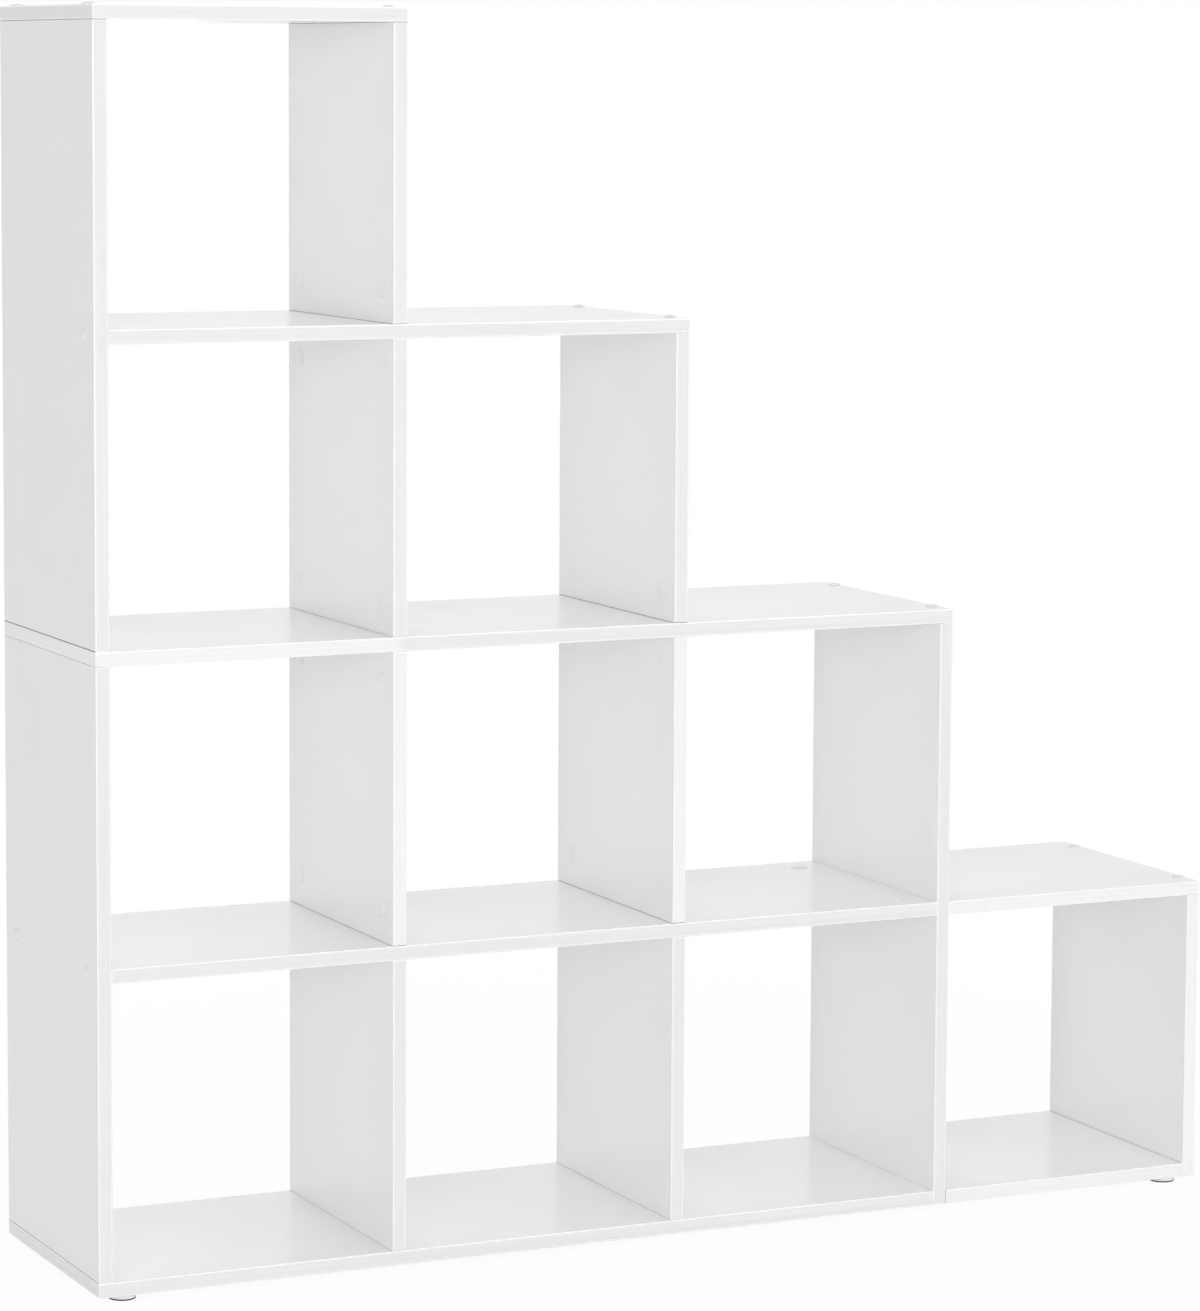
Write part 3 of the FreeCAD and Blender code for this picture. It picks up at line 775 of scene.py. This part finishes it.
def cap_seat(points):
    """Where a cap sits and the way that its crown points, from its solid's points.

    A cap is shorter than it is wide, so its axis is its box's shortest way. Its crown ends in a
    single point on the axis, and its flange's lower ring lies on the board.
    """
    low, high = points.min(axis=0), points.max(axis=0)
    axis = int(np.argmin(high - low))
    centre = (low + high) / 2
    away = points - centre
    away[:, axis] = 0.0
    radius = np.linalg.norm(away, axis=1)
    height = points[:, axis]
    top = radius[height > high[axis] - SAME_HEIGHT].max()
    bottom = radius[height < low[axis] + SAME_HEIGHT].max()
    outward = np.zeros(3)
    outward[axis] = 1.0 if top < bottom else -1.0
    flange = height[radius > WIDEST_SHARE * radius.max()]
    seat = centre.copy()
    seat[axis] = flange.min() if top < bottom else flange.max()
    return seat, outward


def domed_side(flange, rim, crown, ease, steps):
    """A cap's side, eased rim and crown, up to the axis.

    The crown is the arc of a circle about a point on the axis, through the top of the rim and the
    top of the crown. The ease is a smaller circle that touches it and the upright side inside.
    """
    rise = crown - rim
    sphere = (flange * flange + rise * rise) / (2.0 * rise)
    touch = math.asin((flange - ease) / (sphere - ease))
    round_height = crown - sphere + (sphere - ease) * math.cos(touch)
    side = arc_points((flange - ease, round_height), ease, 0.0, QUARTER_TURN - touch, steps)
    angle = np.linspace(touch, 0.0, 2 * steps + 1)[1:]
    dome = np.stack([sphere * np.sin(angle), crown - sphere + sphere * np.cos(angle)], axis=1)
    return np.concatenate([side, dome])


def cap_outline(points, seat, outward, ease, steps):
    """A cap's outline, with its sizes read from its solid: its plug or ring, flange and crown."""
    height = (points - seat) @ outward
    radius = np.linalg.norm((points - seat) - height[:, None] * outward, axis=1)
    flange = radius.max()
    crown = height.max()
    depth = height.min()
    rim = height[radius > WIDEST_SHARE * flange].max()
    lowest = radius[height < depth + SAME_HEIGHT]
    plug, hollow = lowest.max(), lowest.min()
    if hollow < WIDEST_SHARE * plug:
        below = [(0.0, 0.0), (hollow, 0.0), (hollow, depth), (plug, depth), (plug, 0.0)]
    else:
        below = [(0.0, depth), (plug - ease, depth), (plug, depth + ease), (plug, 0.0)]
    under = [(flange - ease / 2, 0.0), (flange, ease / 2)]
    return np.concatenate([below, under, domed_side(flange, rim, crown, ease, steps)])


def cap_skin(node, settings):
    """All the caps of one kind, each in its own place."""
    skin = Skin()
    for points in joined_shells(node):
        seat, outward = cap_seat(points)
        outline = cap_outline(points, seat, outward, settings.cap_round, settings.arc_steps)
        sheet, flat_map, faces = turned_sheet(outline, settings.turn_steps)
        skin.add(seat + sheet @ facing_axes(outward), flat_map, faces)
    return skin


def glide_outline(node, ease, taper, steps):
    """A glide's outline, wider at its foot, with both rims rounded, from the floor side up."""
    low, high = numpy_box(node)
    wide = (high[0] - low[0]) / 2
    height = high[2] - low[2]
    narrow = wide - taper
    foot = arc_points((wide - ease, ease), ease, -QUARTER_TURN, QUARTER_TURN, steps)
    top = arc_points((narrow - ease / 2, height - ease / 2), ease / 2, 0.0, QUARTER_TURN, steps)
    return np.concatenate([[(0.0, 0.0)], foot, top, [(0.0, height)]])


def pad_outline(node, ease, steps):
    """A pad's outline: a disc with its lower rim rounded over."""
    low, high = numpy_box(node)
    radius = (high[0] - low[0]) / 2
    height = high[2] - low[2]
    foot = arc_points((radius - ease, ease), ease, -QUARTER_TURN, QUARTER_TURN, steps)
    return np.concatenate([[(0.0, 0.0)], foot, [(radius, height), (0.0, height)]])


def standing_skin(node, outline, settings):
    """A turned piece that stands upright on the bottom centre of a node's box."""
    low, high = numpy_box(node)
    seat = np.array([(low[0] + high[0]) / 2, (low[1] + high[1]) / 2, low[2]])
    sheet, flat_map, faces = turned_sheet(outline, settings.turn_steps)
    skin = Skin()
    skin.add(seat + sheet, flat_map, faces)
    return skin


def add_piece(name, skin, finish, node):
    """Puts a new piece in the scene, in the place of a node of the construction."""
    piece = bpy.data.objects.new(name, skin.mesh(name))
    piece.data.materials.append(finish)
    bpy.context.scene.collection.objects.link(piece)
    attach(piece, BODY)
    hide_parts(node)


def paint(node, finish):
    """Gives a node of the construction its finish."""
    shown = frame["nodes"][node]
    shown.data.materials.clear()
    shown.data.materials.append(finish)


class BOOKCASE_OT_boards(Operator):
    """Gives the boards their melamine and their raw core"""

    bl_idname = "bookcase.boards"
    bl_label = "Boards"

    def execute(self, context):
        colours = context.scene.bookcase_colours
        made = {}
        for board in FLAT_BOARDS + UPRIGHT_BOARDS:
            across, along = (2, 0) if board in FLAT_BOARDS else (0, 2)
            # The joint values give the painted shade in the board's broken corners
            gap_and_shade_shares = joint_gap_and_shade_shares(board)
            # A painted shadow line of the joint's gap along one end, where the table gives one
            gap_shadow = None
            if board in PAINTED_GAP_SHADOW_ENDS:
                side, reach, share = PAINTED_GAP_SHADOW_ENDS[board]
                gap_shadow = (float(numpy_box(board)[side][along]), 1.0 - 2.0 * side, reach, share)
            key = (across, gap_and_shade_shares, gap_shadow)
            if key not in made:
                made[key] = material(
                    "melamine_" + board, melamine, colours.board, colours.core, across, along, gap_and_shade_shares, gap_shadow)
            paint(board, made[key])
        return {"FINISHED"}


class BOOKCASE_OT_edging(Operator):
    """Builds the edging strips of every board"""

    bl_idname = "bookcase.edging"
    bl_label = "Edging"

    def execute(self, context):
        colours = context.scene.bookcase_colours
        sizes = context.scene.bookcase_sizes
        # The paler colour of the cut-back rounds, a painted highlight
        trimmed_highlight = colours.trimmed_highlight_edging
        change_low, change_high = numpy_box(ROLL_CHANGE_BOARD)
        plain = material("edging_plain", edging_plastic, colours.edging, trimmed_highlight)
        bright = material("edging_bright", edging_plastic, colours.bright_edging, trimmed_highlight)
        changing = material(
            "edging_two_rolls", edging_plastic, colours.bright_edging, trimmed_highlight, colours.edging,
            float(change_low[0]), float(change_high[0] - change_low[0]))
        for board in FLAT_BOARDS + UPRIGHT_BOARDS:
            finish = bright if board in BRIGHT_EDGED_BOARDS else plain
            finish = changing if board == TWO_ROLL_BOARD else finish
            add_piece(board + "_strips", edging_skin(board, sizes), finish, board + "_edging")
        return {"FINISHED"}


class BOOKCASE_OT_caps(Operator):
    """Builds the caps on the screws and the covers on the cam locks"""

    bl_idname = "bookcase.caps"
    bl_label = "Caps and covers"

    def execute(self, context):
        colours = context.scene.bookcase_colours
        sizes = context.scene.bookcase_sizes
        dome_plastic = material(
            "screw_cap_plastic", moulded_plastic, colours.screw_cap, grain_scale=2600.0, roughness=0.5)
        cover_plastic = material(
            "lock_cover_plastic", moulded_plastic, colours.lock_cover, grain_scale=2600.0, roughness=0.42)
        domes = cap_skin("screw_caps", sizes)
        covers = cap_skin("cam_lock_caps", sizes)
        add_piece("screw_cap_domes", domes, dome_plastic, "screw_caps")
        add_piece("lock_covers", covers, cover_plastic, "cam_lock_caps")
        return {"FINISHED"}


class BOOKCASE_OT_glides(Operator):
    """Builds the four glides and the pads under them"""

    bl_idname = "bookcase.glides"
    bl_label = "Glides and pads"

    def execute(self, context):
        colours = context.scene.bookcase_colours
        sizes = context.scene.bookcase_sizes
        plastic = material(
            "glide_plastic", moulded_plastic, colours.glide, grain_scale=1800.0, roughness=0.42)
        rubber = material("pad_rubber", pad_rubber, colours.pad)
        for corner in CORNERS:
            node = "foot_" + corner
            outline = glide_outline(node, sizes.glide_round, sizes.glide_taper, sizes.arc_steps)
            add_piece("glide_" + corner, standing_skin(node, outline, sizes), plastic, node)
            node = "foot_pad_" + corner
            outline = pad_outline(node, sizes.glide_round, sizes.arc_steps)
            add_piece("glide_pad_" + corner, standing_skin(node, outline, sizes), rubber, node)
        return {"FINISHED"}


class BOOKCASE_OT_fittings(Operator):
    """Gives the screws, cam locks, bolts and dowels inside the boards their finishes"""

    bl_idname = "bookcase.fittings"
    bl_label = "Fittings inside"

    def execute(self, context):
        colours = context.scene.bookcase_colours
        steel = material("zinc_plated_steel", plated_steel, colours.steel)
        zinc = material("die_cast_zinc", cast_zinc, colours.zinc)
        beech = material("bare_beech", bare_beech, colours.beech, colours.beech_fleck)
        for node in ("confirmat_screws", "cam_bolts", "double_cam_bolts", "foot_screws"):
            paint(node, steel)
        paint("cam_locks", zinc)
        paint("wooden_dowels", beech)
        return {"FINISHED"}


# Softboxes round the bookcase: name, direction in degrees from the front to the right, distance,
# height of its centre, side, level and kind. At level 1 a white board that faces it shows as white.
# A "plain" one lights and shows in the gloss. The strong ones are "matt" and only light, so that no
# shelf mirrors them, and the "glint" ones only show in the gloss, along the edging's rounds.
LAMPS = (
    ("front_left", -40.0, 8.0, 1.3, 2.8, 0.260, "matt"),
    ("front_right", 45.0, 8.0, 1.3, 2.8, 0.205, "matt"),
    ("high_left", -30.0, 8.0, 6.0, 3.5, 0.050, "plain"),
    ("high_front", 0.0, 8.0, 6.0, 3.5, 0.025, "plain"),
    ("top_front", 0.0, 3.5, 5.5, 3.0, 0.030, "plain"),
    ("overhead", 0.0, 0.5, 9.0, 5.0, 0.105, "plain"),
    ("rear_right", 130.0, 8.0, 1.3, 2.8, 0.160, "matt"),
    ("high_rear", 180.0, 7.0, 4.5, 3.0, 0.320, "matt"),
    ("low_rear", 170.0, 4.5, 0.35, 0.7, 0.016, "plain"),
    ("side_glint", -65.0, 8.0, 1.3, 2.8, 0.300, "glint"),
    ("high_glint", 35.0, 5.0, 6.0, 2.5, 0.200, "glint"),
)
LAMP_TARGET = Vector((0.0, 0.0, 0.55))

# The camera, as the photograph's view gives it: place, turn to the right, tilt down and roll
CAMERA_PLACE = (-2.1415, -4.4769, 1.2358)
CAMERA_TURN = 25.290
CAMERA_TILT = 5.698
CAMERA_ROLL = 0.314
# The picture is 1200 by 1311, and its centre of view lies this far above its middle
CAMERA_RISE_PIXELS = 123.0
PICTURE_HEIGHT_PIXELS = 1311.0
# The sensor's height, and how far away the camera sees
SENSOR_MILLIMETRES = 36.0
FARTHEST_SEEN = 200.0


def add_camera(stage):
    """The camera: turned from +Y, tilted down and rolled, with its picture shifted down."""
    data = bpy.data.cameras.new("view")
    data.lens = stage.lens
    data.sensor_fit = "AUTO"
    data.sensor_width = SENSOR_MILLIMETRES
    data.shift_y = -CAMERA_RISE_PIXELS / PICTURE_HEIGHT_PIXELS
    data.clip_end = FARTHEST_SEEN
    camera = bpy.data.objects.new("view", data)
    turn = Matrix.Rotation(math.radians(-CAMERA_TURN), 4, "Z")
    tilt = Matrix.Rotation(math.radians(90.0 - CAMERA_TILT), 4, "X")
    roll = Matrix.Rotation(math.radians(CAMERA_ROLL), 4, "Z")
    camera.matrix_world = Matrix.Translation(CAMERA_PLACE) @ turn @ tilt @ roll
    bpy.context.scene.collection.objects.link(camera)
    bpy.context.scene.camera = camera


def add_lamp(name, direction, distance, height, side, level, kind):
    """One square softbox, turned to the bookcase.

    A lamp of power P at a distance d lights what faces it with P / (pi d^2), and a white surface
    shows as white when that is pi, so the power is pi^2 d^2 times the level.
    """
    angle = math.radians(direction)
    place = Vector((distance * math.sin(angle), -distance * math.cos(angle), height))
    reach = (place - LAMP_TARGET).length
    data = bpy.data.lights.new(name, "AREA")
    data.shape = "SQUARE"
    data.size = side
    data.energy = math.pi ** 2 * reach ** 2 * level
    lamp = bpy.data.objects.new(name, data)
    lamp.location = place
    lamp.rotation_mode = "QUATERNION"
    lamp.rotation_quaternion = (LAMP_TARGET - place).to_track_quat("-Z", "Y")
    lamp.visible_diffuse = kind != "glint"
    lamp.visible_glossy = kind != "matt"
    bpy.context.scene.collection.objects.link(lamp)


def add_floor(stage, colour):
    """The floor, one large square at height zero."""
    half = stage.floor_size / 2
    mesh = bpy.data.meshes.new("floor")
    corners = [(-half, -half, 0.0), (half, -half, 0.0), (half, half, 0.0), (-half, half, 0.0)]
    mesh.from_pydata(corners, [], [(0, 1, 2, 3)])
    finish = material(
        "pale_floor", pale_floor, colour, stage.floor_glow, stage.shadow_start, stage.shadow_end)
    mesh.materials.append(finish)
    floor = bpy.data.objects.new("floor", mesh)
    bpy.context.scene.collection.objects.link(floor)


class BOOKCASE_OT_stage(Operator):
    """Sets up the floor, the soft light, the lamps and the camera"""

    bl_idname = "bookcase.stage"
    bl_label = "Studio"

    def execute(self, context):
        stage = context.scene.bookcase_stage
        add_floor(stage, context.scene.bookcase_colours.floor)
        world = bpy.data.worlds.new("studio")
        soft_sky(Recipe(world), stage.sky)
        context.scene.world = world
        for lamp in LAMPS:
            add_lamp(*lamp)
        add_camera(stage)
        context.scene.view_settings.view_transform = "Standard"
        return {"FINISHED"}


class BOOKCASE_PT_panel(Panel):
    """Lists the sizes, the colours and the steps of the finish"""

    bl_idname = "BOOKCASE_PT_panel"
    bl_label = "Cube bookcase"
    bl_space_type = "VIEW_3D"
    bl_region_type = "UI"
    bl_category = "Bookcase"

    def draw(self, context):
        scene = context.scene
        for group in (scene.bookcase_sizes, scene.bookcase_colours, scene.bookcase_stage):
            box = self.layout.box()
            for name in group.__annotations__:
                box.prop(group, name)
        for step in STEPS:
            self.layout.operator(step.bl_idname)


GROUPS = {
    "bookcase_sizes": BookcaseSizes,
    "bookcase_colours": BookcaseColours,
    "bookcase_stage": BookcaseStage,
}
STEPS = (
    BOOKCASE_OT_boards,
    BOOKCASE_OT_edging,
    BOOKCASE_OT_caps,
    BOOKCASE_OT_glides,
    BOOKCASE_OT_fittings,
    BOOKCASE_OT_stage,
)


def register():
    """Registers the property groups, the operators and the panel."""
    for name, group in GROUPS.items():
        bpy.utils.register_class(group)
        setattr(bpy.types.Scene, name, PointerProperty(type=group))
    for step in STEPS:
        bpy.utils.register_class(step)
    bpy.utils.register_class(BOOKCASE_PT_panel)


def unregister():
    """Undoes what register did, in reverse."""
    bpy.utils.unregister_class(BOOKCASE_PT_panel)
    for step in reversed(STEPS):
        bpy.utils.unregister_class(step)
    for name, group in GROUPS.items():
        delattr(bpy.types.Scene, name)
        bpy.utils.unregister_class(group)


def main():
    """Runs every step in order."""
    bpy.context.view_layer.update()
    register()
    bpy.ops.bookcase.boards()
    bpy.ops.bookcase.edging()
    bpy.ops.bookcase.caps()
    bpy.ops.bookcase.glides()
    bpy.ops.bookcase.fittings()
    bpy.ops.bookcase.stage()
    bpy.context.view_layer.update()


if __name__ == "__main__":
    main()
